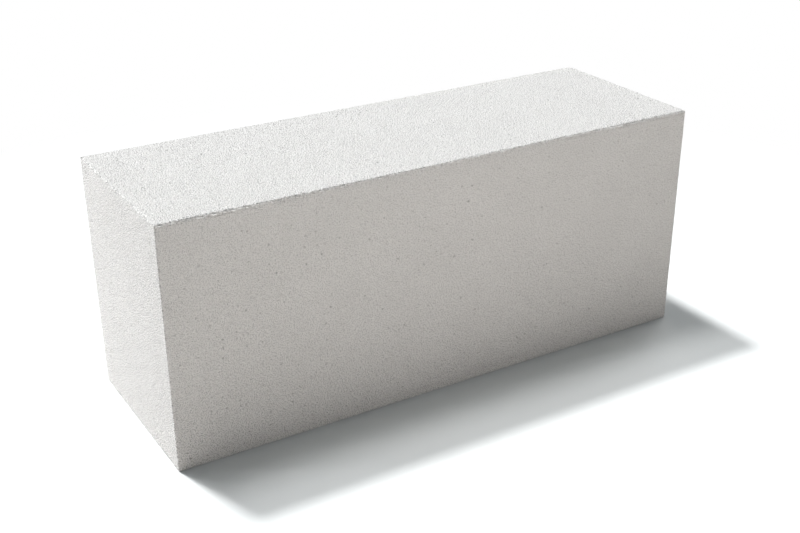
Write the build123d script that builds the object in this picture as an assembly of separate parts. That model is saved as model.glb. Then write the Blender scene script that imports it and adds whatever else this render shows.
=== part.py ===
from build123d import *
import os

# Solid wall block of aerated concrete: one piece, wire-cut on all six faces, with plain ends.
# It stands on its lower bed face, as it is laid in a wall.
# X runs along the wall, Y through the wall and Z up. The origin is the centre of the lower bed face.

# Driving dimensions, in millimetres
LENGTH = 600.0  # from end face to end face
THICKNESS = 200.0  # from outer wall face to inner wall face
HEIGHT = 250.0  # from lower bed face to upper bed face, one course without its joint
ARRIS_RADIUS = 2.0  # the soft edges are rubbed round by the cutting frame and by handling


def make_block() -> Part:
    """The block as cut: its bed face drawn up through one course, then every arris rubbed round."""
    bed_face = Rectangle(LENGTH, THICKNESS)
    cut_body = extrude(bed_face, amount=HEIGHT)
    return fillet(cut_body.edges(), ARRIS_RADIUS)


os.makedirs("parts", exist_ok=True)
export_step(make_block(), "parts/block.step")
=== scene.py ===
"""Finished look of a solid wall block of aerated concrete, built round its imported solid.

The block is wire-cut from one cake of foamed concrete. Its cut faces show open pores and fine grain,
and its arrises are rubbed round and crumble a little where the wire and the handling have been.
Lengths are in metres. X runs along the wall, Y through it and Z up.
"""

import logging
import math
import random
from dataclasses import dataclass, field
from enum import Enum

import bmesh
import bpy
from mathutils import Matrix, Vector, noise


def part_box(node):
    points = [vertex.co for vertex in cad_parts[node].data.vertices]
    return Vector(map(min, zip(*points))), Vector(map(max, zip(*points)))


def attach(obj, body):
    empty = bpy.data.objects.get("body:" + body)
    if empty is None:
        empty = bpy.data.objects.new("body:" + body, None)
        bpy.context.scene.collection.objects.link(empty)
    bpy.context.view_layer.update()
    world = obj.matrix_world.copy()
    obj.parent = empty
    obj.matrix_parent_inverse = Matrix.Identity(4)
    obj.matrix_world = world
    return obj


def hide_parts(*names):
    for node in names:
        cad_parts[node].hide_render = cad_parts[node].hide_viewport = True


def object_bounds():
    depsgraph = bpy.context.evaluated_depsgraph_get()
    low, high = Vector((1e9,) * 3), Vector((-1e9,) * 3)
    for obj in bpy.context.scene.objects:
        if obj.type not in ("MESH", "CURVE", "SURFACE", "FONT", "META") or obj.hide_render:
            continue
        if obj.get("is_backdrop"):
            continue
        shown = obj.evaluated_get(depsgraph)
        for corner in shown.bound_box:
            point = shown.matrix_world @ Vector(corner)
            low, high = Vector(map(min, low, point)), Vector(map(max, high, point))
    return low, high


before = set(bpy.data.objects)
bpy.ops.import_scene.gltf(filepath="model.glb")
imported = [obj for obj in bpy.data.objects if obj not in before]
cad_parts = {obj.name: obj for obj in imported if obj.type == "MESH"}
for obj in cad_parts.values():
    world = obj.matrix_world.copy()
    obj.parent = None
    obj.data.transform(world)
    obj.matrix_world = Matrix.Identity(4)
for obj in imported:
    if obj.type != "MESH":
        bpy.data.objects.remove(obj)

LOG = logging.getLogger("wall_block")

BLOCK_NODE = "block"
BLOCK_BODY = "root"
BLOCK_SLOT = "aerated_concrete"

# What the mesh carries for the finish to read: painted shade for the pores, the open grain, and the
# chips, whose deeper parts also get painted shade
PORE_SHADE_LAYER = "pore_depth"
GRAIN_LAYER = "open_grain"
CHIP_LAYER = "arris_chip"

# How a bevel is cut: round in section, with the material of the faces beside it
ROUND_PROFILE = 0.5
KEEP_MATERIAL = -1

Colour = tuple[float, float, float, float]
Span = tuple[float, float]


class FaceKind(Enum):
    """The faces of a wall block, each with the axis that it looks along."""

    END = 0
    WALL = 1
    BED = 2


class PoreSize(Enum):
    """Radius of an open pore where the wire has cut through it."""

    FINE = 0.0006
    COMMON = 0.0008
    BLOWN = 0.0011
    BURST = 0.0014


class ArrisPlace(Enum):
    """The arrises of the block, by where they run."""

    FRONT_TOP = "front_top"
    BACK_TOP = "back_top"
    END_TOP = "end_top"
    UPRIGHT = "upright"
    FOOT = "foot"


class LampPlace(Enum):
    """The lamps of the stage, by where they hang."""

    KEY = "key"
    BACK = "back"
    OVERHEAD = "overhead"
    BACK_RIGHT = "back_right"
    END_FILL = "end_fill"
    FRONT_FILL = "front_fill"


# The grid points of each kind of face
FacePoints = dict[FaceKind, list[bmesh.types.BMVert]]


@dataclass(frozen=True)
class FaceTexture:
    """How one kind of face came off the wire.

    Attributes:
        pore_share: share of the face's grid points that open as pores.
        size_shares: share of the pores that has each PoreSize, in the order of that list.
        open_grain: how strongly the fine grain stands open; 1 is the plain finish.
        pore_shade: how much painted shade its pores get; 1 is as dark as the finish paints them.
        foot_gain: how much coarser the face is at its foot than at its top, as a share.
    """

    pore_share: float
    size_shares: tuple[float, ...]
    open_grain: float
    pore_shade: float = 1.0
    foot_gain: float = 0.0


FACE_TEXTURES: dict[FaceKind, FaceTexture] = {
    FaceKind.END: FaceTexture(
        pore_share=0.32,
        size_shares=(0.42, 0.36, 0.17, 0.05),
        open_grain=1.12,
    ),
    FaceKind.WALL: FaceTexture(
        pore_share=0.20,
        size_shares=(0.08, 0.40, 0.38, 0.14),
        open_grain=0.43,
        pore_shade=0.52,
        foot_gain=0.65,
    ),
    FaceKind.BED: FaceTexture(
        pore_share=0.34,
        size_shares=(0.40, 0.35, 0.19, 0.06),
        open_grain=0.96,
    ),
}


@dataclass(frozen=True)
class Crumble:
    """How an arris has crumbled.

    Attributes:
        sound: how much of it is still whole; more than 0 leaves longer whole stretches.
        loose: how readily single grains have gone.
        depth: how deep the deepest chips go.
    """

    sound: float
    loose: float
    depth: float


CRUMBLES: dict[ArrisPlace, Crumble] = {
    ArrisPlace.FRONT_TOP: Crumble(sound=0.08, loose=0.5, depth=0.0024),
    ArrisPlace.BACK_TOP: Crumble(sound=0.2, loose=0.25, depth=0.0007),
    ArrisPlace.END_TOP: Crumble(sound=0.2, loose=0.25, depth=0.0009),
    ArrisPlace.UPRIGHT: Crumble(sound=0.3, loose=0.2, depth=0.0008),
    ArrisPlace.FOOT: Crumble(sound=0.3, loose=0.2, depth=0.0006),
}


class NodeSheet:
    """Adds the nodes of one tree and joins them.

    Attributes:
        NOISE_ROUGHNESS: strength of each finer layer of noise, as a share of the one before.
        tree: the node tree.
    """

    NOISE_ROUGHNESS = 0.6

    def __init__(self, tree: bpy.types.NodeTree) -> None:
        """Takes a tree and empties it.

        Args:
            tree: the node tree of a material or a world.
        """
        tree.nodes.clear()
        self.tree = tree

    def add(self, kind: str, inputs: dict[str | int, object], **settings: object) -> bpy.types.Node:
        """Adds one node.

        Args:
            kind: Blender's name for the node.
            inputs: a value, or another node's output, for each input by its name or place.
            settings: the node's own settings.

        Returns:
            The new node.
        """
        node = self.tree.nodes.new(kind)
        for name, value in settings.items():
            setattr(node, name, value)
        for name, value in inputs.items():
            if isinstance(value, bpy.types.NodeSocket):
                self.tree.links.new(value, node.inputs[name])
            else:
                node.inputs[name].default_value = value
        return node

    def place(self) -> bpy.types.NodeSocket:
        """The point on the piece, in metres."""
        return self.add("ShaderNodeTexCoord", {}).outputs["Object"]

    def layer(self, name: str) -> bpy.types.NodeSocket:
        """The number that the mesh carries under this name."""
        return self.add("ShaderNodeAttribute", {}, attribute_name=name).outputs["Fac"]

    def noise(self, place: bpy.types.NodeSocket, grain: float, detail: float) -> bpy.types.NodeSocket:
        """Cloudy noise.

        Args:
            place: the point to read it at.
            grain: about how far apart its light and dark places are.
            detail: how many finer layers it has.

        Returns:
            A number about 0.5.
        """
        inputs = {
            "Vector": place,
            "Scale": 1.0 / grain,
            "Detail": detail,
            "Roughness": self.NOISE_ROUGHNESS,
        }
        return self.add("ShaderNodeTexNoise", inputs).outputs["Fac"]

    def math(self, operation: str, first: object, second: object) -> bpy.types.NodeSocket:
        """One sum on two numbers."""
        return self.add("ShaderNodeMath", {0: first, 1: second}, operation=operation).outputs[0]

    def span(self, value: object, old: tuple[object, object], new: Span) -> bpy.types.NodeSocket:
        """Moves a number smoothly from one range to another and holds it there.

        Args:
            value: the number.
            old: the range that it comes in.
            new: the range that it goes out in.

        Returns:
            The number in its new range.
        """
        inputs = {"Value": value, 1: old[0], 2: old[1], 3: new[0], 4: new[1]}
        ranged = self.add("ShaderNodeMapRange", inputs, interpolation_type="SMOOTHSTEP")
        return ranged.outputs["Result"]

    def blend(self, share: object, first: object, second: object) -> bpy.types.NodeSocket:
        """Mixes two colours.

        Args:
            share: how much of the second there is, from 0 to 1.
            first: one colour.
            second: the other colour.

        Returns:
            The mixed colour.
        """
        inputs = {0: share, 6: first, 7: second}
        return self.add("ShaderNodeMix", inputs, data_type="RGBA").outputs[2]


@dataclass(frozen=True)
class AeratedConcrete:
    """The finish: pale foamed concrete, matt, finely grained and pitted, with shade painted into its
    pores, pits and chips.

    Attributes:
        lime: colour of the palest grains.
        ash: colour of the darkest grains.
        hollow: the colour of the painted shade down in a pore, a pit or a chip, which little light
            reaches; the dark clouds lean towards it too.
        sand_grain: size of the grains that the wire leaves standing.
        sand_detail: how many finer layers they have.
        sand_dark: the range of the sand noise from dark grains to pale ones.
        clod_grain: size of the clumps that they stand in.
        clod_detail: how many finer layers the clumps have.
        pit_grain: spacing of the finest pits, too small to model.
        fleck_grain: spacing of the pale flecks of lime.
        cloud_grain: how far apart the faint pale and dark clouds of the cake are.
        cloud_detail: how many finer layers the clouds have.
        cloud_range: the range of the cloud noise from pale to dark.
        cloud_shade: how much darker the dark clouds are.
        fleck_shade: how far a fleck goes towards the palest colour.
        spot_draws: the range of a cell's draw that sets the size of its fleck or pit.
        spot_radii: the smallest and largest fleck or pit, as shares of a cell.
        pit_shade: how far the painted shade in a pit goes towards the hollow colour, where the grain is
            plainly open.
        pore_shade: how far the painted shade in the darkest modelled pore goes towards it.
        chip_shade: how far the painted shade in the deepest chip of an arris goes towards it.
        chip_range: how deep a chip is where its painted shade starts, and where it is darkest.
        relief: height of the clumps.
        pit_relief: depth of the pits, as a share of that.
        rough_range: the range of the sand noise that the roughness follows.
        roughness: roughness of the dark grains and of the pale ones.
        specular: how much of the light the surface throws straight back.
    """

    lime: Colour = (0.97, 0.959, 0.942, 1.0)
    ash: Colour = (0.18, 0.177, 0.173, 1.0)
    hollow: Colour = (0.32, 0.31, 0.295, 1.0)
    sand_grain: float = 0.0010
    sand_detail: float = 2.0
    sand_dark: Span = (0.36, 0.54)
    clod_grain: float = 0.0017
    clod_detail: float = 1.0
    pit_grain: float = 0.0026
    fleck_grain: float = 0.0029
    cloud_grain: float = 0.04
    cloud_detail: float = 3.0
    cloud_range: Span = (0.35, 0.65)
    cloud_shade: float = 0.03
    fleck_shade: float = 0.85
    spot_draws: Span = (0.2, 1.0)
    spot_radii: Span = (0.05, 0.37)
    pit_shade: float = 1.05
    pore_shade: float = 0.85
    chip_shade: float = 0.35
    chip_range: Span = (0.3, 1.0)
    relief: float = 0.0020
    pit_relief: float = 0.25
    rough_range: Span = (0.3, 0.7)
    roughness: Span = (0.97, 0.88)
    specular: float = 0.2

    def material(self) -> bpy.types.Material:
        """Makes the material.

        Returns:
            The material, reading the block's own coordinates and layers.
        """
        made = bpy.data.materials.new(BLOCK_SLOT)
        made.use_nodes = True
        sheet = NodeSheet(made.node_tree)
        place = sheet.place()
        open_grain = sheet.layer(GRAIN_LAYER)

        sand = sheet.noise(place, self.sand_grain, self.sand_detail)
        ashen = sheet.span(sand, self.sand_dark, (1.0, 0.0))
        dark_grain = sheet.math("MULTIPLY", ashen, open_grain)
        grains = sheet.blend(dark_grain, self.lime, self.ash)
        cloud = sheet.noise(place, self.cloud_grain, self.cloud_detail)
        clouds = sheet.span(cloud, self.cloud_range, (0.0, self.cloud_shade))
        body = sheet.blend(clouds, grains, self.hollow)

        flecks = self._spots(sheet, place, self.fleck_grain)
        flecked = sheet.blend(sheet.math("MULTIPLY", flecks, self.fleck_shade), body, self.lime)
        # Painted shade in the finest pits, stronger where the grain is more open
        pits = self._spots(sheet, place, self.pit_grain)
        pit_painted_shade = sheet.math("MULTIPLY", sheet.math("MULTIPLY", pits, open_grain), self.pit_shade)
        pitted = sheet.blend(pit_painted_shade, flecked, self.hollow)

        # Painted shade in the deeper chips of the arrises
        chip_painted_shade = sheet.span(sheet.layer(CHIP_LAYER), self.chip_range, (0.0, self.chip_shade))
        chips_shaded = sheet.blend(chip_painted_shade, pitted, self.hollow)
        # Painted shade down in the modelled pores, read from the mesh
        pore_dark = sheet.math("MULTIPLY", sheet.layer(PORE_SHADE_LAYER), self.pore_shade)
        colour = sheet.blend(pore_dark, chips_shaded, self.hollow)

        clods = sheet.noise(place, self.clod_grain, self.clod_detail)
        height = sheet.math("SUBTRACT", clods, sheet.math("MULTIPLY", pits, self.pit_relief))
        bump = {"Height": sheet.math("MULTIPLY", height, open_grain), "Distance": self.relief}
        shader_inputs = {
            "Base Color": colour,
            "Roughness": sheet.span(sand, self.rough_range, self.roughness),
            "Normal": sheet.add("ShaderNodeBump", bump).outputs["Normal"],
            "Specular IOR Level": self.specular,
        }
        shader = sheet.add("ShaderNodeBsdfPrincipled", shader_inputs)
        sheet.add("ShaderNodeOutputMaterial", {"Surface": shader.outputs["BSDF"]})
        return made

    def _spots(
        self, sheet: NodeSheet, place: bpy.types.NodeSocket, grain: float
    ) -> bpy.types.NodeSocket:
        """Round spots of many sizes, one to each cell, most of them too small to see.

        Args:
            sheet: the material's nodes.
            place: the point to read them at.
            grain: how far apart they are.

        Returns:
            A number from 0 beside a spot to 1 in the middle of it.
        """
        cells = sheet.add("ShaderNodeTexVoronoi", {"Vector": place, "Scale": 1.0 / grain})
        draw = sheet.add("ShaderNodeSeparateColor", {"Color": cells.outputs["Color"]}).outputs["Red"]
        radius = sheet.span(draw, self.spot_draws, self.spot_radii)
        return sheet.span(cells.outputs["Distance"], (radius, 0.0), (0.0, 1.0))


@dataclass
class WallBlock:
    """The block: one piece, cut on six faces, with open pores and rubbed arrises.

    Attributes:
        low: lowest corner of the solid.
        high: highest corner of the solid.
        finish: what it is made of.
        arris_radius: rounding of the arrises, as on the solid.
        arris_segments: how many flats the rounding has.
        rail_width: width of the plain strip that runs beside each arris.
        cell: spacing of the grid on the faces.
        cell_jitter: how far the grid points are moved about.
        upper_arris_cuts: how often a cell is cut again along the upper arrises.
        lower_arris_cuts: how often it is cut again along the others.
        pore_margin: how far the pores stay from the arrises.
        pore_wall_share: width of a pore's sloping wall, as a share of its radius.
        pore_depth_share: how far that wall goes down, as a share of the radius.
        pore_floor_share: how far the bowl goes down below it, as a share of the radius.
        pore_dark_least: how much painted shade the palest pore gets; 1 is as dark as the darkest.
        pore_dark_power: how rare pores with deep painted shade are; at 1 there are as many as pale
            ones.
        crumble_reach: how far from an arris the crumbling goes.
        coarse_chips: how closely the large chips follow, to the metre.
        fine_chips: how closely the small chips follow, to the metre.
        coarse_share: how much the large chips count.
        fine_share: how much the small chips count.
        chip_gain: how steeply a chip deepens.
        loose_power: how rare single lost grains are.
        waviness: depth of the waves in the faces.
        waves: how closely the waves follow, to the metre.
        seed: start of the random draws.
        mesh_name: what the piece is called.
        flush: the slack that a comparison of lengths allows.
        draws: the block's own run of random draws.
    """

    low: Vector
    high: Vector
    finish: AeratedConcrete
    arris_radius: float = 0.002
    arris_segments: int = 4
    rail_width: float = 0.0025
    cell: float = 0.00625
    cell_jitter: float = 0.0018
    upper_arris_cuts: int = 5
    lower_arris_cuts: int = 2
    pore_margin: float = 0.0075
    pore_wall_share: float = 0.42
    pore_depth_share: float = 0.40
    pore_floor_share: float = 0.22
    pore_dark_least: float = 0.12
    pore_dark_power: float = 1.5
    crumble_reach: float = 0.0045
    coarse_chips: float = 110.0
    fine_chips: float = 480.0
    coarse_share: float = 0.40
    fine_share: float = 0.9
    chip_gain: float = 1.5
    loose_power: int = 3
    waviness: float = 0.00012
    waves: float = 45.0
    seed: int = 7
    mesh_name: str = "block_body"
    flush: float = 1e-6
    draws: random.Random = field(init=False)

    def __post_init__(self) -> None:
        """Starts the block's own run of random draws."""
        self.draws = random.Random(self.seed)

    def build(self) -> bpy.types.Object:
        """Models the block and dresses it.

        Returns:
            The finished object, standing for the solid.
        """
        bm = bmesh.new()
        for name in (PORE_SHADE_LAYER, GRAIN_LAYER, CHIP_LAYER):
            bm.verts.layers.float.new(name)
        self._cut_body(bm)
        self._divide_faces(bm)
        self._divide_arrises(bm)
        points = self._face_points(bm)
        self._scatter(points)
        bmesh.ops.triangulate(bm, faces=self._flat_quads(bm), quad_method="SHORT_EDGE")
        self._open_pores(bm, points)
        self._wear(bm)
        bmesh.ops.recalc_face_normals(bm, faces=bm.faces)
        mesh = bpy.data.meshes.new(self.mesh_name)
        bm.to_mesh(mesh)
        bm.free()
        mesh.materials.append(self.finish.material())
        body = bpy.data.objects.new(self.mesh_name, mesh)
        bpy.context.scene.collection.objects.link(body)
        return body

    def _cut_body(self, bm: bmesh.types.BMesh) -> None:
        """Cuts the plain block, rubs its arrises round and runs a narrow rail along each.

        Args:
            bm: the empty mesh.
        """
        middle = (self.low + self.high) / 2.0
        size = Matrix.Diagonal((*(self.high - self.low), 1.0))
        bmesh.ops.create_cube(bm, size=1.0, matrix=Matrix.Translation(middle) @ size)
        bmesh.ops.bevel(
            bm,
            geom=bm.edges[:],
            offset=self.arris_radius,
            offset_type="OFFSET",
            segments=self.arris_segments,
            profile=ROUND_PROFILE,
            affect="EDGES",
            material=KEEP_MATERIAL,
        )
        by_area = sorted(bm.faces, key=lambda face: face.calc_area(), reverse=True)
        cut_faces = by_area[: 2 * len(FaceKind)]
        bmesh.ops.inset_individual(bm, faces=cut_faces, thickness=self.rail_width, use_even_offset=True)

    def _divide_faces(self, bm: bmesh.types.BMesh) -> None:
        """Divides the long edges, so that each face becomes a grid.

        Args:
            bm: the plain block.
        """
        long_from = min(self.high - self.low) / 2.0
        for kind in FaceKind:
            axis = kind.value
            along = [
                edge
                for edge in bm.edges
                if abs(edge.verts[0].co[axis] - edge.verts[1].co[axis]) > long_from
            ]
            cuts = round((self.high[axis] - self.low[axis]) / self.cell) - 1
            bmesh.ops.subdivide_edges(bm, edges=along, cuts=cuts, use_grid_fill=True)

    def _divide_arrises(self, bm: bmesh.types.BMesh) -> None:
        """Divides the edges along each arris again, finest on the upper ones, for the crumbs.

        Args:
            bm: the divided block.
        """
        reach = self.arris_radius + self.rail_width + self.flush
        top = self.high.z - reach
        finer: dict[int, list[bmesh.types.BMEdge]] = {
            self.upper_arris_cuts: [],
            self.lower_arris_cuts: [],
        }
        for edge in bm.edges:
            first, second = edge.verts
            middle = (first.co + second.co) / 2.0
            if self._arris_distance(middle) > reach or edge.calc_length() < self.cell / 2.0:
                continue
            upright = abs(first.co.z - second.co.z) > self.cell / 2.0
            upper = middle.z > top and not upright
            finer[self.upper_arris_cuts if upper else self.lower_arris_cuts].append(edge)
        for cuts, edges in finer.items():
            bmesh.ops.subdivide_edges(bm, edges=edges, cuts=cuts, use_grid_fill=True)

    def _arris_distance(self, point: Vector) -> float:
        """How far a point on the block is from the nearest arris.

        Args:
            point: a point on the block.

        Returns:
            The middle one of its distances to the nearer end, wall and bed face.
        """
        _, middle, _ = sorted(self._gap(point, kind) for kind in FaceKind)
        return middle

    def _face_kind(self, point: Vector) -> FaceKind:
        """The kind of face that a point is nearest to."""
        return min(FaceKind, key=lambda kind: self._gap(point, kind))

    def _gap(self, point: Vector, kind: FaceKind) -> float:
        """How far a point is from the nearer face of this kind."""
        axis = kind.value
        return min(point[axis] - self.low[axis], self.high[axis] - point[axis])

    def _coarseness(self, point: Vector, texture: FaceTexture) -> float:
        """How open a face is at a point: 1 at the top, and more towards the foot.

        Args:
            point: a point on the face.
            texture: how that face came off the wire.

        Returns:
            The factor for its grain and pores.
        """
        drop = (self.high.z - point.z) / (self.high.z - self.low.z)
        return 1.0 + texture.foot_gain * drop**2

    def _face_points(self, bm: bmesh.types.BMesh) -> FacePoints:
        """Collects the grid points that lie well inside a face.

        Args:
            bm: the divided block.

        Returns:
            The points of each kind of face.
        """
        points: FacePoints = {kind: [] for kind in FaceKind}
        for vert in bm.verts:
            if self._arris_distance(vert.co) > self.pore_margin:
                points[self._face_kind(vert.co)].append(vert)
        return points

    def _scatter(self, points: FacePoints) -> None:
        """Moves the grid points about in their face, so that no row shows.

        Args:
            points: the points of each kind of face.
        """
        for kind, verts in points.items():
            sides = [axis for axis in range(3) if axis != kind.value]
            for vert in verts:
                for axis in sides:
                    vert.co[axis] += self.draws.uniform(-self.cell_jitter, self.cell_jitter)

    def _flat_quads(self, bm: bmesh.types.BMesh) -> list[bmesh.types.BMFace]:
        """The grid's own faces, without the rails and arrises."""
        reach = self.arris_radius + self.rail_width
        return [face for face in bm.faces if self._arris_distance(face.calc_center_median()) > reach]

    def _open_pores(self, bm: bmesh.types.BMesh, points: FacePoints) -> None:
        """Opens some of the grid points as pores, each a rim, a sloping wall and a bowl.

        Args:
            bm: the block with its faces in triangles.
            points: the points of each kind of face.
        """
        chosen: dict[PoreSize, list[bmesh.types.BMVert]] = {size: [] for size in PoreSize}
        for kind, verts in points.items():
            texture = FACE_TEXTURES[kind]
            for vert in verts:
                if self.draws.random() < texture.pore_share * self._coarseness(vert.co, texture):
                    size = self.draws.choices(list(PoreSize), weights=texture.size_shares)[0]
                    chosen[size].append(vert)
        depth = bm.verts.layers.float[PORE_SHADE_LAYER]
        for size, verts in chosen.items():
            self._bore(bm, size.value, verts, depth)
            LOG.info("%s pores: %d", size.name.lower(), len(verts))

    def _bore(
        self,
        bm: bmesh.types.BMesh,
        radius: float,
        verts: list[bmesh.types.BMVert],
        depth: bmesh.types.BMLayerItem,
    ) -> None:
        """Opens pores of one size and paints shade into their bowls.

        Args:
            bm: the block.
            radius: the pores' radius at the face.
            verts: the points to open.
            depth: the layer that says how much painted shade a point gets.
        """
        rims = bmesh.ops.bevel(
            bm,
            geom=verts,
            offset=radius,
            offset_type="OFFSET",
            segments=1,
            profile=ROUND_PROFILE,
            affect="VERTICES",
            material=KEEP_MATERIAL,
        )["faces"]
        bmesh.ops.inset_individual(
            bm,
            faces=rims,
            thickness=radius * self.pore_wall_share,
            depth=-radius * self.pore_depth_share,
            use_even_offset=True,
        )
        # Painted shade: each pore's bowl is darkened by a random amount, as little light reaches down
        # there
        for face in rims:
            draw = self.draws.random() ** self.pore_dark_power
            dark = self.pore_dark_least + (1.0 - self.pore_dark_least) * draw
            middle = face.calc_center_median()
            texture = FACE_TEXTURES[self._face_kind(middle)]
            shade = dark * texture.pore_shade * self._coarseness(middle, texture)
            for vert in face.verts:
                vert[depth] = shade
        for vert in bmesh.ops.poke(bm, faces=rims, offset=-radius * self.pore_floor_share)["verts"]:
            vert[depth] = max(edge.other_vert(vert)[depth] for edge in vert.link_edges)

    def _wear(self, bm: bmesh.types.BMesh) -> None:
        """Lets the faces wave a little and crumbles the arrises, always inwards.

        It also notes the grain and the chips at each point, for the finish to read; the finish paints
        shade into the deeper chips.

        Args:
            bm: the block with its pores.
        """
        grain = bm.verts.layers.float[GRAIN_LAYER]
        chip = bm.verts.layers.float[CHIP_LAYER]
        bm.normal_update()
        moves: list[tuple[bmesh.types.BMVert, Vector]] = []
        for vert in bm.verts:
            texture = FACE_TEXTURES[self._face_kind(vert.co)]
            vert[grain] = texture.open_grain * self._coarseness(vert.co, texture)
            nearness = max(0.0, 1.0 - self._arris_distance(vert.co) / self.crumble_reach)
            crumble = CRUMBLES[self._arris_place(vert.co)]
            vert[chip] = self._chip(vert.co, crumble) * nearness
            swell = 0.5 + 0.5 * noise.noise(vert.co * self.waves)
            wave = swell * self.waviness * (1.0 - nearness)
            moves.append((vert, vert.normal * -(vert[chip] * crumble.depth + wave)))
        for vert, move in moves:
            vert.co += move

    def _arris_place(self, point: Vector) -> ArrisPlace:
        """The kind of arris that a point is nearest to.

        Args:
            point: a point on the block.

        Returns:
            Its place on the block.
        """
        if point.z < self.low.z + self.crumble_reach:
            return ArrisPlace.FOOT
        if point.z < self.high.z - self.crumble_reach:
            return ArrisPlace.UPRIGHT
        if self._gap(point, FaceKind.WALL) > self._gap(point, FaceKind.END):
            return ArrisPlace.END_TOP
        in_front = point.y < (self.low.y + self.high.y) / 2.0
        return ArrisPlace.FRONT_TOP if in_front else ArrisPlace.BACK_TOP

    def _chip(self, point: Vector, crumble: Crumble) -> float:
        """How far the arris has crumbled at a point.

        Args:
            point: a point near an arris.
            crumble: how that arris has crumbled.

        Returns:
            A number from 0, where the arris is whole, to 1 in the deepest chips.
        """
        coarse = self.coarse_share * noise.noise(point * self.coarse_chips)
        fine = self.fine_share * noise.noise(point * self.fine_chips)
        broken = max(0.0, coarse + fine - crumble.sound)
        lost = self.draws.random() ** self.loose_power * crumble.loose
        return min(1.0, broken * self.chip_gain + lost)

    def report(self, body: bpy.types.Object) -> None:
        """Says how many triangles the piece has."""
        LOG.info("%s: %d triangles", body.name, sum(len(p.vertices) - 2 for p in body.data.polygons))


@dataclass(frozen=True)
class Lamp:
    """One soft lamp, hung round the middle of the block.

    Attributes:
        level: the light that it lays on a surface there that faces it;
            1 from all the lamps together shows a colour as written.
        azimuth: where it hangs, in degrees round from behind the block towards its left end.
        elevation: its height above the horizon, in degrees.
        width: how wide it looks from the block, in degrees, or how high if it is oval.
        breadth: how wide an oval panel looks sideways, in degrees; none is round.
        distance: how far off it hangs; none is so far that it lights the whole floor alike.
        tint: colour of its light.
    """

    level: float
    azimuth: float
    elevation: float
    width: float
    breadth: float | None = None
    distance: float | None = None
    tint: tuple[float, float, float] = (1.0, 1.0, 1.0)

    def direction(self) -> Vector:
        """Points from the block to the lamp.

        Returns:
            A vector of length 1.
        """
        around, above = math.radians(self.azimuth), math.radians(self.elevation)
        level_way = Vector((-math.sin(around), math.cos(around), 0.0))
        return level_way * math.cos(above) + Vector((0.0, 0.0, math.sin(above)))

    def light(self, name: str) -> bpy.types.Light:
        """Makes the lamp's light.

        Args:
            name: what the light is called.

        Returns:
            A sun for a lamp far off, or else a round or oval panel.
        """
        facing_light = self.level * math.pi
        if self.distance is None:
            light = bpy.data.lights.new(name, type="SUN")
            light.energy = facing_light
            light.angle = math.radians(self.width)
        else:
            light = bpy.data.lights.new(name, type="AREA")
            light.shape = "ELLIPSE"
            light.energy = facing_light * math.pi * self.distance**2
            light.size = self._across(self.breadth or self.width)
            light.size_y = self._across(self.width)
        light.color = self.tint
        return light

    def _across(self, angle: float) -> float:
        """How far it is across a panel that looks this many degrees wide."""
        return 2.0 * self.distance * math.tan(math.radians(angle) / 2.0)


LAMPS: dict[LampPlace, Lamp] = {
    LampPlace.KEY: Lamp(level=0.792, azimuth=18.3, elevation=65.6, width=6.1, distance=12.0),
    LampPlace.BACK: Lamp(
        level=0.166, azimuth=25.8, elevation=74.7, width=9.8, breadth=4.0, distance=12.0
    ),
    LampPlace.OVERHEAD: Lamp(
        level=0.12, azimuth=38.8, elevation=79.1, width=8.6, breadth=4.0, distance=12.0
    ),
    LampPlace.BACK_RIGHT: Lamp(level=0.204, azimuth=-62.8, elevation=56.0, width=29.2),
    LampPlace.END_FILL: Lamp(
        level=0.545, azimuth=68.0, elevation=-2.0, width=4.0, distance=1.8, tint=(0.985, 1.0, 1.02)
    ),
    LampPlace.FRONT_FILL: Lamp(
        level=0.143, azimuth=180.0, elevation=4.0, width=14.0, distance=1.0, tint=(1.0, 0.94, 0.90)
    ),
}


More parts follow.
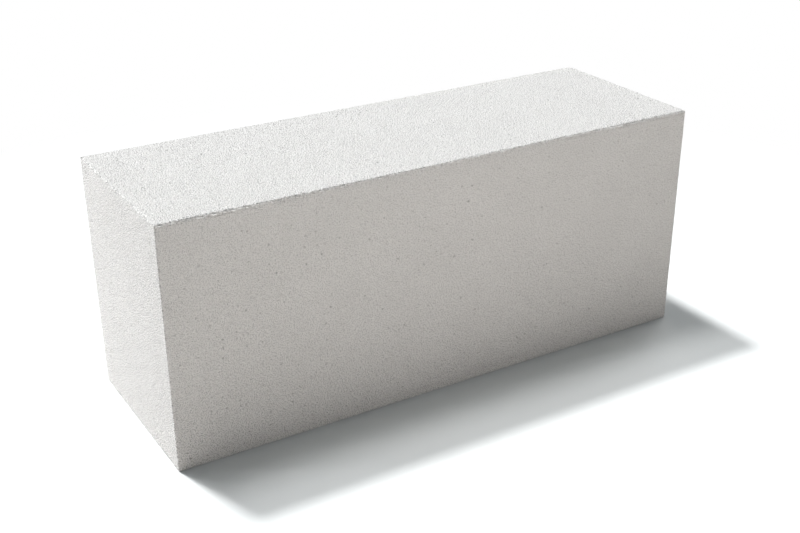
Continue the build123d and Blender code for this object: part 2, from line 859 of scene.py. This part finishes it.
@dataclass(frozen=True)
class Studio:
    """The stage: a pale floor that runs to the horizon, soft lamps and a dim room.

    Attributes:
        middle: the middle of the block, which the lamps hang round.
        floor_reach: how far the floor runs each way.
        floor_give: how far the block sinks into the floor sheet.
        floor_bounce: colour of the floor in the light that it throws on the block.
        floor_seen: colour of the floor to the camera.
        white_from: how far from the block's middle the floor starts to fade to white.
        white_at: how far from there it is all white.
        room_level: strength of the room's light.
        room_tint: colour of the room's light.
        white: the plain white that the floor fades to and that the room shows.
    """

    middle: Vector
    floor_reach: float = 60.0
    floor_give: float = 0.0003
    floor_bounce: Colour = (0.672, 0.642, 0.611, 1.0)
    floor_seen: Colour = (0.96, 0.985, 0.985, 1.0)
    white_from: float = 0.6
    white_at: float = 0.9
    room_level: float = 0.048
    room_tint: Colour = (0.70, 1.0, 1.16, 1.0)
    white: Colour = (1.0, 1.0, 1.0, 1.0)

    def build(self) -> None:
        """Lays the floor, hangs the lamps and lights the room."""
        self._lay_floor()
        for place, lamp in LAMPS.items():
            self._hang(place, lamp)
        self._light_room()

    def _seen_directly(self, sheet: NodeSheet) -> bpy.types.NodeSocket:
        """Tells what is seen, also in a gloss or through glass, from what only lights the block.

        Args:
            sheet: the nodes of the floor or the room.

        Returns:
            The share to mix by: 1 for what is seen, or else 0.
        """
        path = sheet.add("ShaderNodeLightPath", {})
        seen = sheet.math("ADD", path.outputs["Is Camera Ray"], path.outputs["Is Glossy Ray"])
        return sheet.math("ADD", seen, path.outputs["Is Transmission Ray"])

    def _lay_floor(self) -> None:
        """Lays the floor under the block."""
        bm = bmesh.new()
        above = Matrix.Translation((0.0, 0.0, self.floor_give))
        bmesh.ops.create_grid(bm, x_segments=1, y_segments=1, size=self.floor_reach, matrix=above)
        mesh = bpy.data.meshes.new("floor")
        bm.to_mesh(mesh)
        bm.free()
        mesh.materials.append(self._paint())
        floor = bpy.data.objects.new("floor", mesh)
        bpy.context.scene.collection.objects.link(floor)
        floor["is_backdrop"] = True

    def _paint(self) -> bpy.types.Material:
        """Makes the floor's paint.

        Returns:
            A matt paint round the block, which fades to plain white away from it.
        """
        paint = bpy.data.materials.new("floor_paint")
        paint.use_nodes = True
        sheet = NodeSheet(paint.node_tree)
        seen = self._seen_directly(sheet)
        colour = sheet.blend(seen, self.floor_bounce, self.floor_seen)
        painted = sheet.add("ShaderNodeBsdfDiffuse", {"Color": colour}).outputs["BSDF"]
        glow = {"Color": self.white, "Strength": 1.0}
        white = sheet.add("ShaderNodeEmission", glow).outputs["Emission"]
        length = sheet.add("ShaderNodeVectorMath", {0: sheet.place()}, operation="LENGTH")
        away = sheet.span(length.outputs["Value"], (self.white_from, self.white_at), (0.0, 1.0))
        share = sheet.math("MULTIPLY", seen, away)
        surface = sheet.add("ShaderNodeMixShader", {0: share, 1: painted, 2: white}).outputs[0]
        sheet.add("ShaderNodeOutputMaterial", {"Surface": surface})
        return paint

    def _hang(self, place: LampPlace, lamp: Lamp) -> None:
        """Hangs one lamp.

        Args:
            place: what the lamp is called.
            lamp: its place and strength.
        """
        hung = bpy.data.objects.new(place.value, lamp.light(place.value))
        hung.rotation_mode = "QUATERNION"
        hung.rotation_quaternion = lamp.direction().to_track_quat("Z", "Y")
        hung.location = self.middle + lamp.direction() * (lamp.distance or 0.0)
        hung.visible_camera = False
        bpy.context.scene.collection.objects.link(hung)

    def _light_room(self) -> None:
        """Gives the room its dim light, and its white where the camera looks past the floor."""
        room = bpy.data.worlds.new("room")
        room.use_nodes = True
        sheet = NodeSheet(room.node_tree)
        seen = self._seen_directly(sheet)
        inputs = {
            "Color": sheet.blend(seen, self.room_tint, self.white),
            "Strength": sheet.span(seen, (0.0, 1.0), (self.room_level, 1.0)),
        }
        background = sheet.add("ShaderNodeBackground", inputs)
        sheet.add("ShaderNodeOutputWorld", {"Surface": background.outputs["Background"]})
        bpy.context.scene.world = room


@dataclass(frozen=True)
class Viewpoint:
    """The camera, at the photograph's angle.

    Attributes:
        azimuth: degrees round from looking along +Y; below 0 it stands to the left.
        elevation: degrees above the horizon.
        distance: from the point that it looks at.
        target: the point that it looks at.
        lens: focal length, in millimetres.
        sensor: width of the picture behind that lens, in millimetres.
        shift: how far the picture's middle lies from the lens axis, as shares of its width.
    """

    azimuth: float = -31.57
    elevation: float = 26.34
    distance: float = 1.332
    target: tuple[float, float, float] = (0.0180, 0.0, 0.0634)
    lens: float = 54.72
    sensor: float = 36.0
    shift: tuple[float, float] = (-0.0169, 0.0319)

    def build(self) -> bpy.types.Object:
        """Sets the camera up.

        Returns:
            The camera, which the scene then uses.
        """
        around, above = math.radians(self.azimuth), math.radians(self.elevation)
        back = Vector(
            (
                math.sin(around) * math.cos(above),
                -math.cos(around) * math.cos(above),
                math.sin(above),
            )
        )
        data = bpy.data.cameras.new("camera")
        data.sensor_fit = "HORIZONTAL"
        data.sensor_width = self.sensor
        data.lens = self.lens
        data.shift_x, data.shift_y = self.shift
        camera = bpy.data.objects.new("camera", data)
        camera.rotation_mode = "QUATERNION"
        camera.rotation_quaternion = (-back).to_track_quat("-Z", "Y")
        camera.location = Vector(self.target) + back * self.distance
        bpy.context.scene.collection.objects.link(camera)
        bpy.context.scene.camera = camera
        return camera


def main() -> None:
    """Builds the block, its stage and the camera."""
    logging.basicConfig(level=logging.INFO, format="%(name)s: %(message)s")
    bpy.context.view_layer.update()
    bpy.context.scene.view_settings.view_transform = "Standard"
    low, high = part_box(BLOCK_NODE)
    block = WallBlock(low=Vector(low), high=Vector(high), finish=AeratedConcrete())
    body = block.build()
    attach(body, BLOCK_BODY)
    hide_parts(BLOCK_NODE)
    block.report(body)
    Studio(middle=(block.low + block.high) / 2.0).build()
    Viewpoint().build()
    low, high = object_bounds()


if __name__ == "__main__":
    main()
